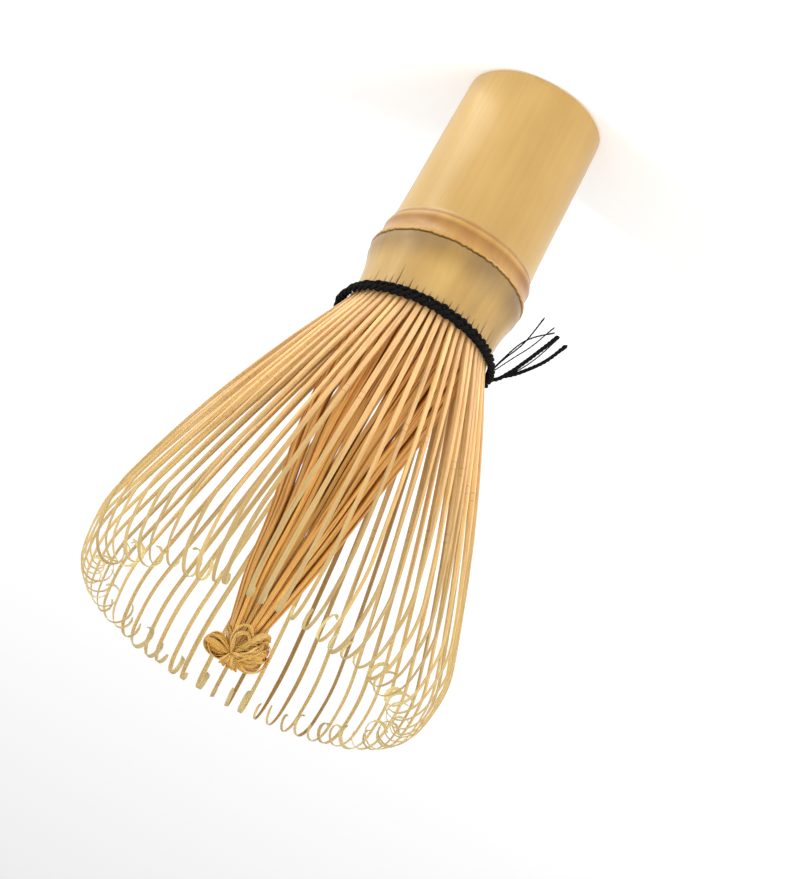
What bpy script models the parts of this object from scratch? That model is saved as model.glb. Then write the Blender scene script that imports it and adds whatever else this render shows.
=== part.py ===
"""A bamboo tea whisk, standing on its butt.

The whisk is one length of bamboo culm. The handle keeps the whole culm. Above it the wall is split into
sixteen sectors, each sector is parted into an outer and an inner layer, and each layer is split again into
fine tines. A black thread is woven round the outer tines in two rows, so that the outer tines stand open
in a ring and the inner ones gather in a bundle whose curled tips tangle into a bow.

The origin is the centre of the butt's flat face, +Z runs towards the tips. Dimensions are in millimetres.
"""
import math

import bpy
import bmesh
from mathutils import Matrix, Vector

MM = 0.001

# Handle: the radius of its outer side at each height, from the neck down to the butt.
HANDLE_SIDE = ((12.45, 45.6), (12.45, 43.0), (12.9, 40.0), (13.5, 37.6), (13.6, 36.4), (13.05, 35.85),
               (13.4, 35.2), (13.2, 33.4), (12.75, 31.5), (12.5, 28.5), (12.2, 14.0), (12.0, 0.6),
               (11.5, 0.0))
NECK_HOLLOW_R = 9.2
BORE_R = 7.2
DIAPHRAGM_LOW_Z = 31.0
DIAPHRAGM_HIGH_Z = 35.0
TURNED_STEPS = 40

# Split culm: sectors round it, and tines that each layer of a sector is split into.
SETS = 16
TINES_PER_SET = 4
SET_ANGLE = 360.0 / SETS
TINE_ANGLE = SET_ANGLE / TINES_PER_SET
ROOT_SPAN = 21.0

# Outer tines: a flat blade that starts at a radius and height, leaning out by an angle from vertical,
# and goes on as a chain of arcs. Each arc has a length and the angle by which it turns outwards.
OUTER_START = (11.9, 46.2)
OUTER_LEAN = 12.0
OUTER_ARCS = ((5.0, 11.0), (23.0, -3.0), (24.0, -4.0), (6.0, -20.0), (4.0, -6.0), (4.0, -39.0),
              (9.0, -145.0))
ARC_STEP = 40.0
OUTER_WIDTH = 0.8
OUTER_ROOT_THICKNESS = 0.85
OUTER_TIP_THICKNESS = 0.3
OUTER_ROOT_R = (11.3, 12.45)
OUTER_ROOT_Z = (45.9, 46.9)
FLEX_POINT = (12.0, 47.8)

# Inner tines: two layers of strands from one circle. Each passes through radius, height and half width.
STRAND_OUTSIDE = ((10.0, 46.9, 0.3), (10.0, 55.0, 0.3), (9.2, 66.0, 0.3), (7.4, 78.0, 0.28),
                  (5.7, 88.0, 0.27), (4.3, 97.0, 0.24), (3.5, 103.1, 0.2))
STRAND_INSIDE = ((10.0, 46.9, 0.3), (9.5, 55.0, 0.3), (8.0, 66.0, 0.28), (5.8, 78.0, 0.24),
                 (4.1, 88.0, 0.2), (2.9, 97.0, 0.16), (2.3, 103.1, 0.14))
INNER_ROOT_R = (9.4, 10.6)
INNER_ROOT_Z = (46.4, 47.4)
CORE_SWAY_Z = 47.0

# Bow of curled tips at the head of the bundle: centre across and up, and half sizes of each flat loop.
BOW_LOOPS = {"bow_loop_left": (4.1, 107.6, 2.4, 3.9), "bow_loop_right": (-1.2, 107.0, 2.5, 3.3)}
BOW_WALL = 0.9
BOW_HALF_DEPTH = 1.4
BOW_POINTS = 20
FRINGE = ((0.45, 109.8), (1.7, 109.8), (2.2, 111.7), (-0.3, 111.7))
FRINGE_HALF_DEPTH = 1.2

# Thread: ring radius, height and half thickness of each woven row, and the loose ends.
THREAD_ROWS = {"thread_row_neck": (13.35, 47.0, 0.45), "thread_row_tines": (13.95, 48.3, 0.5)}
ROW_STEPS = 48
ROW_SIDES = 6
THREAD_HALF = 0.33
FIBRE_HALF = 0.12
THREAD_ENDS = {
    "thread_end_long": ((-14.9, 0, 47.3), (-16.1, 0, 45.2), (-17.8, 0, 41.6), (-20.6, 0, 34.9)),
    "thread_end_short": ((-17.0, 0, 45.4), (-18.1, 0, 43.9), (-20.0, 0, 41.2), (-22.5, 0, 35.7)),
}
THREAD_FIBRES = {
    "thread_fibre_1": ((-13.4, -0.5, 45.8), (-14.2, -0.5, 43.6), (-16.0, -0.5, 38.9), (-19.8, 0, 34.6)),
    "thread_fibre_2": ((-13.3, 0.9, 45.6), (-14.3, 0.9, 43.2), (-16.0, 0.8, 38.9), (-17.2, 0.8, 32.6)),
    "thread_fibre_3": ((-14.3, -1.4, 45.6), (-15.4, -1.4, 43.4), (-17.2, -1.2, 39.8), (-19.3, -0.9, 34.2)),
    "thread_fibre_4": ((-15.6, 1.0, 46.4), (-17.2, 1.0, 43.6), (-18.9, 1.0, 40.2), (-20.9, 1.0, 34.3)),
}

COLOURS = {"bamboo_skin": ("E0BA78", 0.38), "bamboo_tine": ("DDBC74", 0.5), "bamboo_core": ("C98F55", 0.55),
           "cotton_thread": ("0C0B0B", 0.8)}


def linear(hex_colour):
    """The linear values of an sRGB colour."""
    values = [int(hex_colour[i:i + 2], 16) / 255 for i in (0, 2, 4)]
    return [v / 12.92 if v <= 0.04045 else ((v + 0.055) / 1.055) ** 2.4 for v in values]


def make_materials():
    materials = {}
    for name, (hex_colour, roughness) in COLOURS.items():
        material = bpy.data.materials.new(name)
        material.use_nodes = True
        shader = material.node_tree.nodes["Principled BSDF"]
        shader.inputs["Base Color"].default_value = (*linear(hex_colour), 1)
        shader.inputs["Roughness"].default_value = roughness
        shader.inputs["Metallic"].default_value = 0
        materials[name] = material
    return materials


def add_part(name, mesh, material):
    """A named part of the whisk that shows a mesh in one material."""
    if not mesh.materials:
        mesh.materials.append(material)
    part = bpy.data.objects.new(name, mesh)
    whisk.objects.link(part)
    return part


def smooth(mesh):
    """Shade a mesh smooth, apart from its edges."""
    mesh.shade_smooth()
    mesh.set_sharp_from_angle(angle=math.radians(35))


def to_mesh(maker):
    """The mesh that an object gives once its modifiers or its curve are worked out. The object is removed."""
    bpy.context.view_layer.update()
    mesh = bpy.data.meshes.new_from_object(maker.evaluated_get(bpy.context.evaluated_depsgraph_get()))
    mesh.transform(maker.matrix_world)
    bpy.data.objects.remove(maker)
    return mesh


def weld(mesh):
    """Close a mesh made from a curve, whose caps are loose."""
    work = bmesh.new()
    work.from_mesh(mesh)
    bmesh.ops.remove_doubles(work, verts=work.verts, dist=0.001 * MM)
    work.to_mesh(mesh)
    work.free()
    return mesh


def flat_outline(name, outlines, half_depth, placing):
    """A flat piece: closed outlines in a plane, filled, thickened both ways and placed.

    A second outline inside the first is a hole.
    """
    curve = bpy.data.curves.new(name, "CURVE")
    curve.dimensions = "2D"
    curve.fill_mode = "BOTH"
    curve.extrude = half_depth * MM
    for outline in outlines:
        spline = curve.splines.new("POLY")
        spline.points.add(len(outline) - 1)
        spline.use_cyclic_u = True
        for point, (x, y) in zip(spline.points, outline):
            point.co = (x * MM, y * MM, 0, 1)
    maker = bpy.data.objects.new(name, curve)
    whisk.objects.link(maker)
    maker.matrix_world = placing
    return weld(to_mesh(maker))


def tube(name, points, half_widths, resolution):
    """A tube along points, with its own half width at each one, and filled ends."""
    curve = bpy.data.curves.new(name, "CURVE")
    curve.dimensions = "3D"
    curve.bevel_depth = 1
    curve.bevel_resolution = resolution
    curve.use_fill_caps = True
    spline = curve.splines.new("POLY")
    spline.points.add(len(points) - 1)
    for point, place, half_width in zip(spline.points, points, half_widths):
        point.co = (*(Vector(place) * MM), 1)
        point.radius = half_width * MM
    maker = bpy.data.objects.new(name, curve)
    whisk.objects.link(maker)
    return weld(to_mesh(maker))


def joined(name, first, others):
    """One closed mesh from a first mesh and others that run into it."""
    base = bpy.data.objects.new(name, first)
    whisk.objects.link(base)
    cutters_used = []
    for number, mesh in enumerate(others):
        other = bpy.data.objects.new(f"{name}_cutter_{number}", mesh)
        cutters.objects.link(other)
        other.hide_render = True
        other.display_type = "WIRE"
        union = base.modifiers.new("union", "BOOLEAN")
        union.operation = "UNION"
        union.solver = "EXACT"
        union.object = other
        cutters_used.append(other)
    mesh = to_mesh(base)
    for other in cutters_used:
        bpy.data.objects.remove(other)
    return mesh


def turn_about_z(degrees):
    return Matrix.Rotation(math.radians(degrees), 4, "Z")


# A flat outline stands up in the plane of X and Z: its own Y becomes +Z.
STAND_UP = Matrix.Rotation(math.radians(90), 4, "X")


def arc_chain(start, lean, arcs):
    """Stations (radius, height, lean) along a chain of arcs.

    Each step is the chord of a short arc, and runs at the arc's middle lean.
    """
    r, z = start
    stations = [(r, z, lean)]
    for length, turn in arcs:
        steps = max(1, math.ceil(abs(turn) / ARC_STEP))
        half_turn = math.radians(turn / steps / 2)
        chord = length / steps * math.sin(half_turn) / half_turn
        for _ in range(steps):
            middle = math.radians(lean) + half_turn
            r += chord * math.sin(middle)
            z += chord * math.cos(middle)
            lean += turn / steps
            stations.append((r, z, lean))
    return stations


def blade_outline(stations):
    """The side view of a tine: its middle line, moved out and in by half of a falling thickness."""
    outside, inside = [], []
    for number, (r, z, lean) in enumerate(stations):
        along = number / (len(stations) - 1)
        half = (OUTER_ROOT_THICKNESS + (OUTER_TIP_THICKNESS - OUTER_ROOT_THICKNESS) * along) / 2
        across_r, across_z = math.cos(math.radians(lean)) * half, -math.sin(math.radians(lean)) * half
        outside.append((r + across_r, z + across_z))
        inside.append((r - across_r, z - across_z))
    return outside + inside[::-1]


def root_arc(name, radii, heights):
    """The unsplit foot of one sector: a short arc of the culm's wall."""
    half = math.radians(ROOT_SPAN / 2)
    steps = 4
    angles = [half * (2 * step / steps - 1) for step in range(steps + 1)]
    outline = [(radii[1] * math.cos(a), radii[1] * math.sin(a)) for a in angles]
    outline += [(radii[0] * math.cos(a), radii[0] * math.sin(a)) for a in reversed(angles)]
    middle = (heights[0] + heights[1]) / 2 * MM
    return flat_outline(name, [outline], (heights[1] - heights[0]) / 2, Matrix.Translation((0, 0, middle)))


def tine_turns():
    """The angles of a sector's tines from its middle."""
    return [(number - (TINES_PER_SET - 1) / 2) * TINE_ANGLE for number in range(TINES_PER_SET)]


def set_turns():
    """The angle of each sector's middle round the whisk."""
    return [(number + 0.5) * SET_ANGLE for number in range(SETS)]


def make_culm(materials):
    """The handle: a bored length of culm with the ridge of its node, the diaphragm and the neck."""
    outline = [(0, DIAPHRAGM_HIGH_Z), (NECK_HOLLOW_R, DIAPHRAGM_HIGH_Z), (NECK_HOLLOW_R, HANDLE_SIDE[0][1])]
    outline += HANDLE_SIDE
    outline += [(BORE_R, 0), (BORE_R, DIAPHRAGM_LOW_Z), (0, DIAPHRAGM_LOW_Z)]
    mesh = bpy.data.meshes.new("culm_outline")
    edges = [(number, number + 1) for number in range(len(outline) - 1)]
    mesh.from_pydata([(r * MM, 0, z * MM) for r, z in outline], edges, [])
    maker = bpy.data.objects.new("culm_outline", mesh)
    whisk.objects.link(maker)
    screw = maker.modifiers.new("turn", "SCREW")
    screw.steps = TURNED_STEPS
    screw.render_steps = TURNED_STEPS
    screw.use_merge_vertices = True
    screw.merge_threshold = 0.01 * MM
    turned = to_mesh(maker)
    smooth(turned)
    add_part("culm", turned, materials["bamboo_skin"])


def make_outer_sets(materials):
    """The sixteen sets of outer tines. Each has its origin where its tines bend, at the thread."""
    blade = blade_outline(arc_chain(OUTER_START, OUTER_LEAN, OUTER_ARCS))
    blades = [flat_outline("blade", [blade], OUTER_WIDTH / 2, turn_about_z(turn) @ STAND_UP)
              for turn in tine_turns()]
    tine_set = joined("outer_set", root_arc("outer_root", OUTER_ROOT_R, OUTER_ROOT_Z), blades)
    flex_point = Vector((FLEX_POINT[0], 0, FLEX_POINT[1])) * MM
    tine_set.transform(Matrix.Translation(-flex_point))
    smooth(tine_set)
    for number, turn in enumerate(set_turns(), 1):
        part = add_part(f"outer_tines_{number:02d}", tine_set, materials["bamboo_tine"])
        part.location = turn_about_z(turn) @ flex_point
        part.rotation_euler.z = math.radians(turn)


def make_inner_sets(materials, core):
    """The sixteen sets of inner tines, which carry the bow and sway together."""
    strands = []
    for number, turn in enumerate(tine_turns()):
        route = STRAND_OUTSIDE if number % 2 == 0 else STRAND_INSIDE
        points = [turn_about_z(turn) @ Vector((r, 0, z)) for r, z, _ in route]
        strands.append(tube("strand", points, [half for _, _, half in route], 0))
    tine_set = joined("inner_set", root_arc("inner_root", INNER_ROOT_R, INNER_ROOT_Z), strands)
    tine_set.transform(Matrix.Translation((0, 0, -CORE_SWAY_Z * MM)))
    smooth(tine_set)
    for number, turn in enumerate(set_turns(), 1):
        part = add_part(f"inner_tines_{number:02d}", tine_set, materials["bamboo_core"])
        part.parent = core
        part.rotation_euler.z = math.radians(turn)


def make_bow(materials, core):
    """The tangled tips of the inner tines: two flat loops side by side, and a short fringe beyond them."""
    placing = Matrix.Translation((0, 0, -CORE_SWAY_Z * MM)) @ STAND_UP
    angles = [2 * math.pi * step / BOW_POINTS for step in range(BOW_POINTS)]
    for name, (x, z, half_x, half_z) in BOW_LOOPS.items():
        outlines = [[(x + (half_x - wall) * math.cos(a), z + (half_z - wall) * math.sin(a)) for a in angles]
                    for wall in (0, BOW_WALL)]
        loop = flat_outline(name, outlines, BOW_HALF_DEPTH, placing)
        smooth(loop)
        add_part(name, loop, materials["bamboo_core"]).parent = core
    fringe = flat_outline("bow_fringe", [FRINGE], FRINGE_HALF_DEPTH, placing)
    add_part("bow_fringe", fringe, materials["bamboo_core"]).parent = core


def make_thread(materials):
    """The two woven rows of thread and its loose ends."""
    for name, (ring, height, half) in THREAD_ROWS.items():
        bpy.ops.mesh.primitive_torus_add(major_radius=ring * MM, minor_radius=half * MM,
                                         major_segments=ROW_STEPS, minor_segments=ROW_SIDES,
                                         location=(0, 0, height * MM))
        row = to_mesh(bpy.context.object)
        smooth(row)
        add_part(name, row, materials["cotton_thread"])
    for ends, half, resolution in ((THREAD_ENDS, THREAD_HALF, 2), (THREAD_FIBRES, FIBRE_HALF, 0)):
        for name, points in ends.items():
            end = tube(name, points, [half] * len(points), resolution)
            smooth(end)
            add_part(name, end, materials["cotton_thread"])


for old in list(bpy.data.objects):
    bpy.data.objects.remove(old)
whisk = bpy.data.collections.new("tea_whisk")
cutters = bpy.data.collections.new("cutters")
bpy.context.scene.collection.children.link(whisk)
bpy.context.scene.collection.children.link(cutters)

finishes = make_materials()
core_axis = bpy.data.objects.new("core_sway_axis", None)
core_axis.location = (0, 0, CORE_SWAY_Z * MM)
whisk.objects.link(core_axis)
make_culm(finishes)
make_outer_sets(finishes)
make_inner_sets(finishes, core_axis)
make_bow(finishes, core_axis)
make_thread(finishes)
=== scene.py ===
# %% [markdown]
# # A bamboo tea whisk
# The whisk is split, shaved and curled from one length of bamboo, and one black thread is woven round its
# tines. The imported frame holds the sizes, the joints and the plain solids. This script makes what the eye
# sees: the skin of the culm with its ridge, sixty-four shaved blades with their curled tips, the bundle
# inside them with its tangled bow, and the twisted thread.
#
# Every new piece is a surface worked out with numpy as a whole array. Lengths are in millimetres until a
# mesh is made, because that is how a whisk maker would measure it.

# %% Load the frame
import math

import bpy
import numpy as np
from mathutils import Matrix, Vector


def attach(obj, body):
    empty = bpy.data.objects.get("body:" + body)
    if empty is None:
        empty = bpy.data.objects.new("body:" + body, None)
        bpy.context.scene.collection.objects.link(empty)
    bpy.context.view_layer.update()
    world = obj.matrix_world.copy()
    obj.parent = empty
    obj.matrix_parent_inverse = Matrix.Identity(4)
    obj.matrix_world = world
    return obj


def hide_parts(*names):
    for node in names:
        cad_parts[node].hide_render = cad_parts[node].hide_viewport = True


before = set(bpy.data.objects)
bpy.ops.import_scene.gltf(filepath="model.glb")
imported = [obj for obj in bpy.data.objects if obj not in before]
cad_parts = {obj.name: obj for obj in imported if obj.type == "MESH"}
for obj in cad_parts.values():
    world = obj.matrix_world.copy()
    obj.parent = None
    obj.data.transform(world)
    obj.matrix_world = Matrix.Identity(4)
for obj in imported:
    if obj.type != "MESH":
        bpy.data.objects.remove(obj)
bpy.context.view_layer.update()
MM = 0.001
SETS = 16
TINES_PER_SET = 4
TINES = SETS * TINES_PER_SET
# One seeded series of random numbers, drawn in a fixed order, so that every run makes the same whisk.
rng = np.random.default_rng(64)

# %% [markdown]
# ## The camera
# The whisk stands on its butt, with +Z towards its tips. The camera looks down at it from the front and is
# rolled most of the way over, so that the handle points up and to the right in the picture and the tips
# hang down to the left. A long lens keeps the ring of tips almost as flat as it looks from arm's length.

# %% Place the camera
# Places and the lens are in millimetres, and the roll is in degrees.
CAMERA_PLACE = (0.0, -364.1, 225.1)
LOOK_AT = (-5.6, 0.0, 64.7)
CAMERA_ROLL = -151.9
LENS = 102.4

def make_camera():
    """A camera that looks from one point to another, and is then rolled about its own line of sight."""
    camera = bpy.data.objects.new("camera", bpy.data.cameras.new("camera"))
    camera.data.lens = LENS
    camera.data.clip_start = 0.01
    sight = Vector(LOOK_AT) - Vector(CAMERA_PLACE)
    level = sight.to_track_quat("-Z", "Y").to_matrix().to_4x4()
    roll = Matrix.Rotation(math.radians(CAMERA_ROLL), 4, "Z")
    camera.matrix_world = Matrix.Translation(Vector(CAMERA_PLACE) * MM) @ level @ roll
    bpy.context.scene.collection.objects.link(camera)
    bpy.context.scene.camera = camera
    return camera


camera = make_camera()
print("camera right:", [round(v, 3) for v in camera.matrix_world.col[0][:3]],
      "up:", [round(v, 3) for v in camera.matrix_world.col[1][:3]])

# %% [markdown]
# ## Materials
# Bamboo is a grass with a smooth waxy skin, pale straw when dried, over long straight fibres that turn more
# orange towards the inside of the wall. So four finishes come from one plant: the satin skin of the handle,
# the shaved blades, the bare inner wood of the bundle and its thin curled tips. All fibres run along the
# piece, so each pattern is stretched along it. A scanned texture would need its edges hidden, while nodes give
# every tine a pattern of its own.

# %% A node helper and the colours
def linear(hex_colour):
    """The linear colour of an sRGB hex value: its dark end is a straight line, the rest a power of 2.4."""
    values = [int(hex_colour[i:i + 2], 16) / 255 for i in (0, 2, 4)]
    return (*[v / 12.92 if v <= 0.04045 else ((v + 0.055) / 1.055) ** 2.4 for v in values], 1.0)


def add_node(material, kind, *values, output=0, stops=(), **named):
    """Add a node and return one of its outputs.

    Values go to its inputs in order. A name with a capital is an input, with _ for a space, and any other
    name is a property of the node. A socket is linked, a hex colour is made linear, and anything else is
    set as it is. Stops are a ramp's positions and hex colours.
    """
    made = material.node_tree.nodes.new(kind)
    for name, value in named.items():
        if name[0].islower():
            setattr(made, name, value)
    inputs = list(enumerate(values)) + [(n.replace("_", " "), v) for n, v in named.items() if n[0].isupper()]
    for place, value in inputs:
        if isinstance(value, bpy.types.NodeSocket):
            material.node_tree.links.new(value, made.inputs[place])
        else:
            made.inputs[place].default_value = linear(value) if isinstance(value, str) else value
    if stops:
        elements = made.color_ramp.elements
        elements[0].position, elements[-1].position = stops[0][0], stops[-1][0]
        for position, _ in stops[1:-1]:
            elements.new(position)
        for element, (_, colour) in zip(elements, stops):
            element.color = linear(colour)
    return made.outputs[output]


def new_material(name, **shader_inputs):
    """An empty material with a Principled shader, and that shader."""
    material = bpy.data.materials.new(name)
    material.use_nodes = True
    shader = material.node_tree.nodes["Principled BSDF"]
    for socket, value in shader_inputs.items():
        shader.inputs[socket.replace("_", " ")].default_value = value
    return material, shader


# %% Bamboo skin: the waxy satin outside of the culm
# Heights up the culm in metres: the ridge's band, then the neck's dark zone, and how far their edges wander.
RIDGE_BAND = (0.0306, 0.0366)
NECK_BAND = (0.0368, 0.0421)
BAND_WANDER = 0.0012
# What lies over the skin, in order: the mesh's attribute that says where, its strength, and its colour.
# The scar's dark brown is painted shade in the groove beside the lip.
SKIN_MARKS = (("scar", 0.85, "4A3016"), ("blush", 0.7, "8E4C2C"), ("cut", 1.0, "3A2413"), ("lip", 1.0, "E6CBA6"),
              ("end_grain", 1.0, "D9B884"))

def make_skin():
    """Straw skin under its own wax: satin, with a soft gloss over it.

    It mottles over a centimetre or so and is streaked by fibres. The real ones are about 0.25 mm apart and
    are drawn at 0.6 mm, so that they show. The ridge is golden brown, and the neck is darkest under the scar.
    """
    material, shader = new_material("bamboo_skin_waxed", Roughness=0.42, Coat_Weight=0.5, Coat_Roughness=0.26)
    place = add_node(material, "ShaderNodeTexCoord", output="Object")
    height = add_node(material, "ShaderNodeSeparateXYZ", place, output="Z")
    by_centimetres = add_node(material, "ShaderNodeMapping", place, Scale=(70, 70, 35))
    by_bands = add_node(material, "ShaderNodeMapping", place, Scale=(260, 260, 13))
    by_fibres = add_node(material, "ShaderNodeMapping", place, Scale=(1600, 1600, 32))
    mottle = add_node(material, "ShaderNodeTexNoise", by_centimetres, Scale=1, Detail=3)
    band = add_node(material, "ShaderNodeTexNoise", by_bands, Scale=1)
    streak = add_node(material, "ShaderNodeTexNoise", by_fibres, Scale=1, Detail=3, Roughness=0.6)
    base = add_node(material, "ShaderNodeValToRGB", mottle, stops=(
        (0.3, "B18940"), (0.5, "B9934A"), (0.72, "C39E57")))
    neck = add_node(material, "ShaderNodeValToRGB", band, stops=(
        (0.3, "A07C38"), (0.5, "B28B43"), (0.7, "BE9950")))
    # The neck is darker next to the scar and fades to its own colour higher up.
    darker_by_scar = add_node(material, "ShaderNodeValToRGB", band, stops=((0.3, "7A5C28"), (0.7, "967434")))
    blotch = add_node(material, "ShaderNodeValToRGB", band, stops=(
        (0.3, "E6CA90"), (0.55, "FFFAEC"), (0.8, "F2D6A6")))
    level = add_node(material, "ShaderNodeMath", mottle, BAND_WANDER, height, operation="MULTIPLY_ADD")
    up_ridge = add_node(material, "ShaderNodeMapRange", level, *RIDGE_BAND)
    ridge = add_node(material, "ShaderNodeValToRGB", up_ridge, stops=(
        (0.1, "B9934A"), (0.2, "A07434"), (0.3, "C29844"), (0.42, "9A6C20"), (0.66, "AE802C"), (0.9, "BC9040")))
    ridge = add_node(material, "ShaderNodeMix", Factor=0.8, A=ridge, B=blotch, data_type="RGBA",
                     blend_type="MULTIPLY", output="Result")
    on_ridge = add_node(material, "ShaderNodeMapRange", up_ridge, 0.08, 0.16, interpolation_type="SMOOTHSTEP")
    up_neck = add_node(material, "ShaderNodeMapRange", level, *NECK_BAND, interpolation_type="SMOOTHSTEP")
    in_neck = add_node(material, "ShaderNodeAttribute", attribute_name="above_scar", output="Fac")
    neck = add_node(material, "ShaderNodeMix", Factor=up_neck, A=darker_by_scar, B=neck, data_type="RGBA", output="Result")
    colour = add_node(material, "ShaderNodeMix", Factor=on_ridge, A=base, B=ridge, data_type="RGBA",
                      output="Result")
    colour = add_node(material, "ShaderNodeMix", Factor=in_neck, A=colour, B=neck, data_type="RGBA",
                      output="Result")
    fine = add_node(material, "ShaderNodeMath", streak, 0.2, 0.9, operation="MULTIPLY_ADD")
    colour = add_node(material, "ShaderNodeMix", Factor=1.0, A=colour, B=fine, data_type="RGBA",
                      blend_type="MULTIPLY", output="Result")
    for name, strength, mark_colour in SKIN_MARKS:
        amount = add_node(material, "ShaderNodeAttribute", attribute_name=name, output="Fac")
        amount = add_node(material, "ShaderNodeMath", amount, strength, operation="MULTIPLY")
        colour = add_node(material, "ShaderNodeMix", Factor=amount, A=colour, B=mark_colour, data_type="RGBA",
                          output="Result")
    bump = add_node(material, "ShaderNodeBump", Strength=0.3, Distance=0.00006, Height=streak)
    material.node_tree.links.new(colour, shader.inputs["Base Color"])
    material.node_tree.links.new(bump, shader.inputs["Normal"])
    return material


# %% Shaved bamboo: the blades and the strips, which are matt, with fibres along them
def make_shaved(name, stops, inside_colour, line_colour, line_strength, tint_depth, roughness):
    """Bare fibres: matt, with no wax left, a little see-through, and lined from end to end.

    Colour follows the tine from root to tip and leans to the inside colour on its inner side. Each tine has
    its own tint. Fibre bundles are about a third of a millimetre apart and 15 mm long, and the deepest of
    them show as lines.
    """
    material, shader = new_material(name, Roughness=roughness, Specular_IOR_Level=0.4, Subsurface_Weight=0.3,
                                    Subsurface_Radius=(1.0, 0.45, 0.12), Subsurface_Scale=0.0007)
    read = {key: add_node(material, "ShaderNodeAttribute", attribute_name=key, output="Fac")
            for key in ("along", "tint", "inner_side", "darker_inside", "from_mark")}
    fibres = add_node(material, "ShaderNodeUVMap", uv_map="fibres")
    by_bundles = add_node(material, "ShaderNodeMapping", fibres, Scale=(70, 3000, 1))
    by_patches = add_node(material, "ShaderNodeMapping", fibres, Scale=(160, 300, 1))
    streak = add_node(material, "ShaderNodeTexNoise", by_bundles, Scale=1, Detail=3, Roughness=0.65)
    patch = add_node(material, "ShaderNodeTexNoise", by_patches, Scale=1)
    deep = add_node(material, "ShaderNodeMapRange", streak, 0.46, 0.34, 0.0, line_strength,
                    interpolation_type="SMOOTHSTEP")
    hidden = add_node(material, "ShaderNodeMath", read["inner_side"], 0.5, operation="MULTIPLY")
    # Two faint reddish ticks cross some tines, 0.7 mm either side of the mark and ragged along the fibres.
    tick = add_node(material, "ShaderNodeMath", read["from_mark"], operation="ABSOLUTE")
    tick = add_node(material, "ShaderNodeMath", tick, 0.7, operation="SUBTRACT")
    tick = add_node(material, "ShaderNodeMath", tick, operation="ABSOLUTE")
    tick = add_node(material, "ShaderNodeMath", streak, 0.3, tick, operation="MULTIPLY_ADD")
    tick = add_node(material, "ShaderNodeMath", tick, 0.26, operation="LESS_THAN")
    tick = add_node(material, "ShaderNodeMath", tick, 0.36, operation="MULTIPLY")
    colour = add_node(material, "ShaderNodeValToRGB", read["along"], stops=stops)
    # Some blades are darker on their inner sides, each by its own amount.
    for amount, layer in ((hidden, inside_colour), (deep, line_colour), (read["darker_inside"], "7A5618"),
                          (tick, "9A5A38")):
        colour = add_node(material, "ShaderNodeMix", Factor=amount, A=colour, B=layer, data_type="RGBA",
                          output="Result")
    level = add_node(material, "ShaderNodeMath", streak, 0.5, 0.75, operation="MULTIPLY_ADD")
    for varied, depth in ((read["tint"], tint_depth), (patch, 0.16)):
        shade = add_node(material, "ShaderNodeMath", varied, depth, 1 - depth / 2, operation="MULTIPLY_ADD")
        level = add_node(material, "ShaderNodeMath", level, shade, operation="MULTIPLY")
    colour = add_node(material, "ShaderNodeMix", Factor=1.0, A=colour, B=level, data_type="RGBA",
                      blend_type="MULTIPLY", output="Result")
    bump = add_node(material, "ShaderNodeBump", Strength=0.3, Distance=0.00004, Height=streak)
    material.node_tree.links.new(colour, shader.inputs["Base Color"])
    material.node_tree.links.new(bump, shader.inputs["Normal"])
    return material


# %% Black cotton thread
def make_thread_material():
    """Dyed cotton: nearly black and without gloss, with a faint fuzz of fibres that run along it.

    Real fibres are about 0.02 mm across and are drawn at 0.1 mm, so that they show.
    """
    material, shader = new_material("black_cotton_thread", Roughness=0.9, Specular_IOR_Level=0.15,
                                    Sheen_Weight=0.1, Sheen_Roughness=0.5, Sheen_Tint=linear("4A4644"))
    fibres = add_node(material, "ShaderNodeUVMap", uv_map="fibres")
    by_fibres = add_node(material, "ShaderNodeMapping", fibres, Scale=(2500, 9000, 1))
    fibre = add_node(material, "ShaderNodeTexNoise", by_fibres, Scale=1, Detail=3)
    colour = add_node(material, "ShaderNodeValToRGB", fibre, stops=((0.3, "030303"), (0.7, "121110")))
    bump = add_node(material, "ShaderNodeBump", Strength=0.5, Distance=0.00005, Height=fibre)
    material.node_tree.links.new(colour, shader.inputs["Base Color"])
    material.node_tree.links.new(bump, shader.inputs["Normal"])
    return material


# %% Make the five finishes
# The blades pale towards their tips. The inner strips are the most orange, with the deepest lines. The curled
# tips are shaved the thinnest and have the most sheen.
skin = make_skin()
blade_wood = make_shaved(
    "bamboo_blade_shaved", ((0.0, "ECC188"), (0.3, "DEB277"), (0.6, "BC9E64"), (0.8, "B29D69"), (0.92, "B4AA7A")),
    inside_colour="DAC886", line_colour="A8763A", line_strength=0.4, tint_depth=0.36, roughness=0.5)
core_wood = make_shaved(
    "bamboo_inner_strip", ((0.0, "C68E4C"), (0.4, "C9944A"), (0.8, "C79548"), (1.0, "C6964C")),
    inside_colour="B45E0A", line_colour="904804", line_strength=1.0, tint_depth=0.42, roughness=0.5)
bow_wood = make_shaved(
    "bamboo_curled_tip", ((0.0, "CA9C48"), (0.5, "D4AA60"), (1.0, "CA9A4C")),
    inside_colour="C08830", line_colour="A86E22", line_strength=0.45, tint_depth=0.22, roughness=0.36)
black_thread = make_thread_material()
print("materials:", [m.name for m in (skin, blade_wood, core_wood, bow_wood, black_thread)])

# %% [markdown]
# ## Surfaces from arrays
# Almost everything here is a strip or a strand: a cross-section carried along a path. One function does it
# for many paths at once. Its arrays have the axes path, station along it, point round the section, and
# x, y, z, so a whole set of tines is one array expression.

# %% Carry a section along paths
BLADE_SECTION = np.array([(-1, -0.8), (-0.86, -1), (0.86, -1), (1, -0.8),
                          (1, 0.65), (0.8, 1), (-0.8, 1), (-1, 0.65)])

def unit(vectors):
    """Each vector divided by its own length."""
    return vectors / np.maximum(np.linalg.norm(vectors, axis=-1, keepdims=True), 1e-12)


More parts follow.
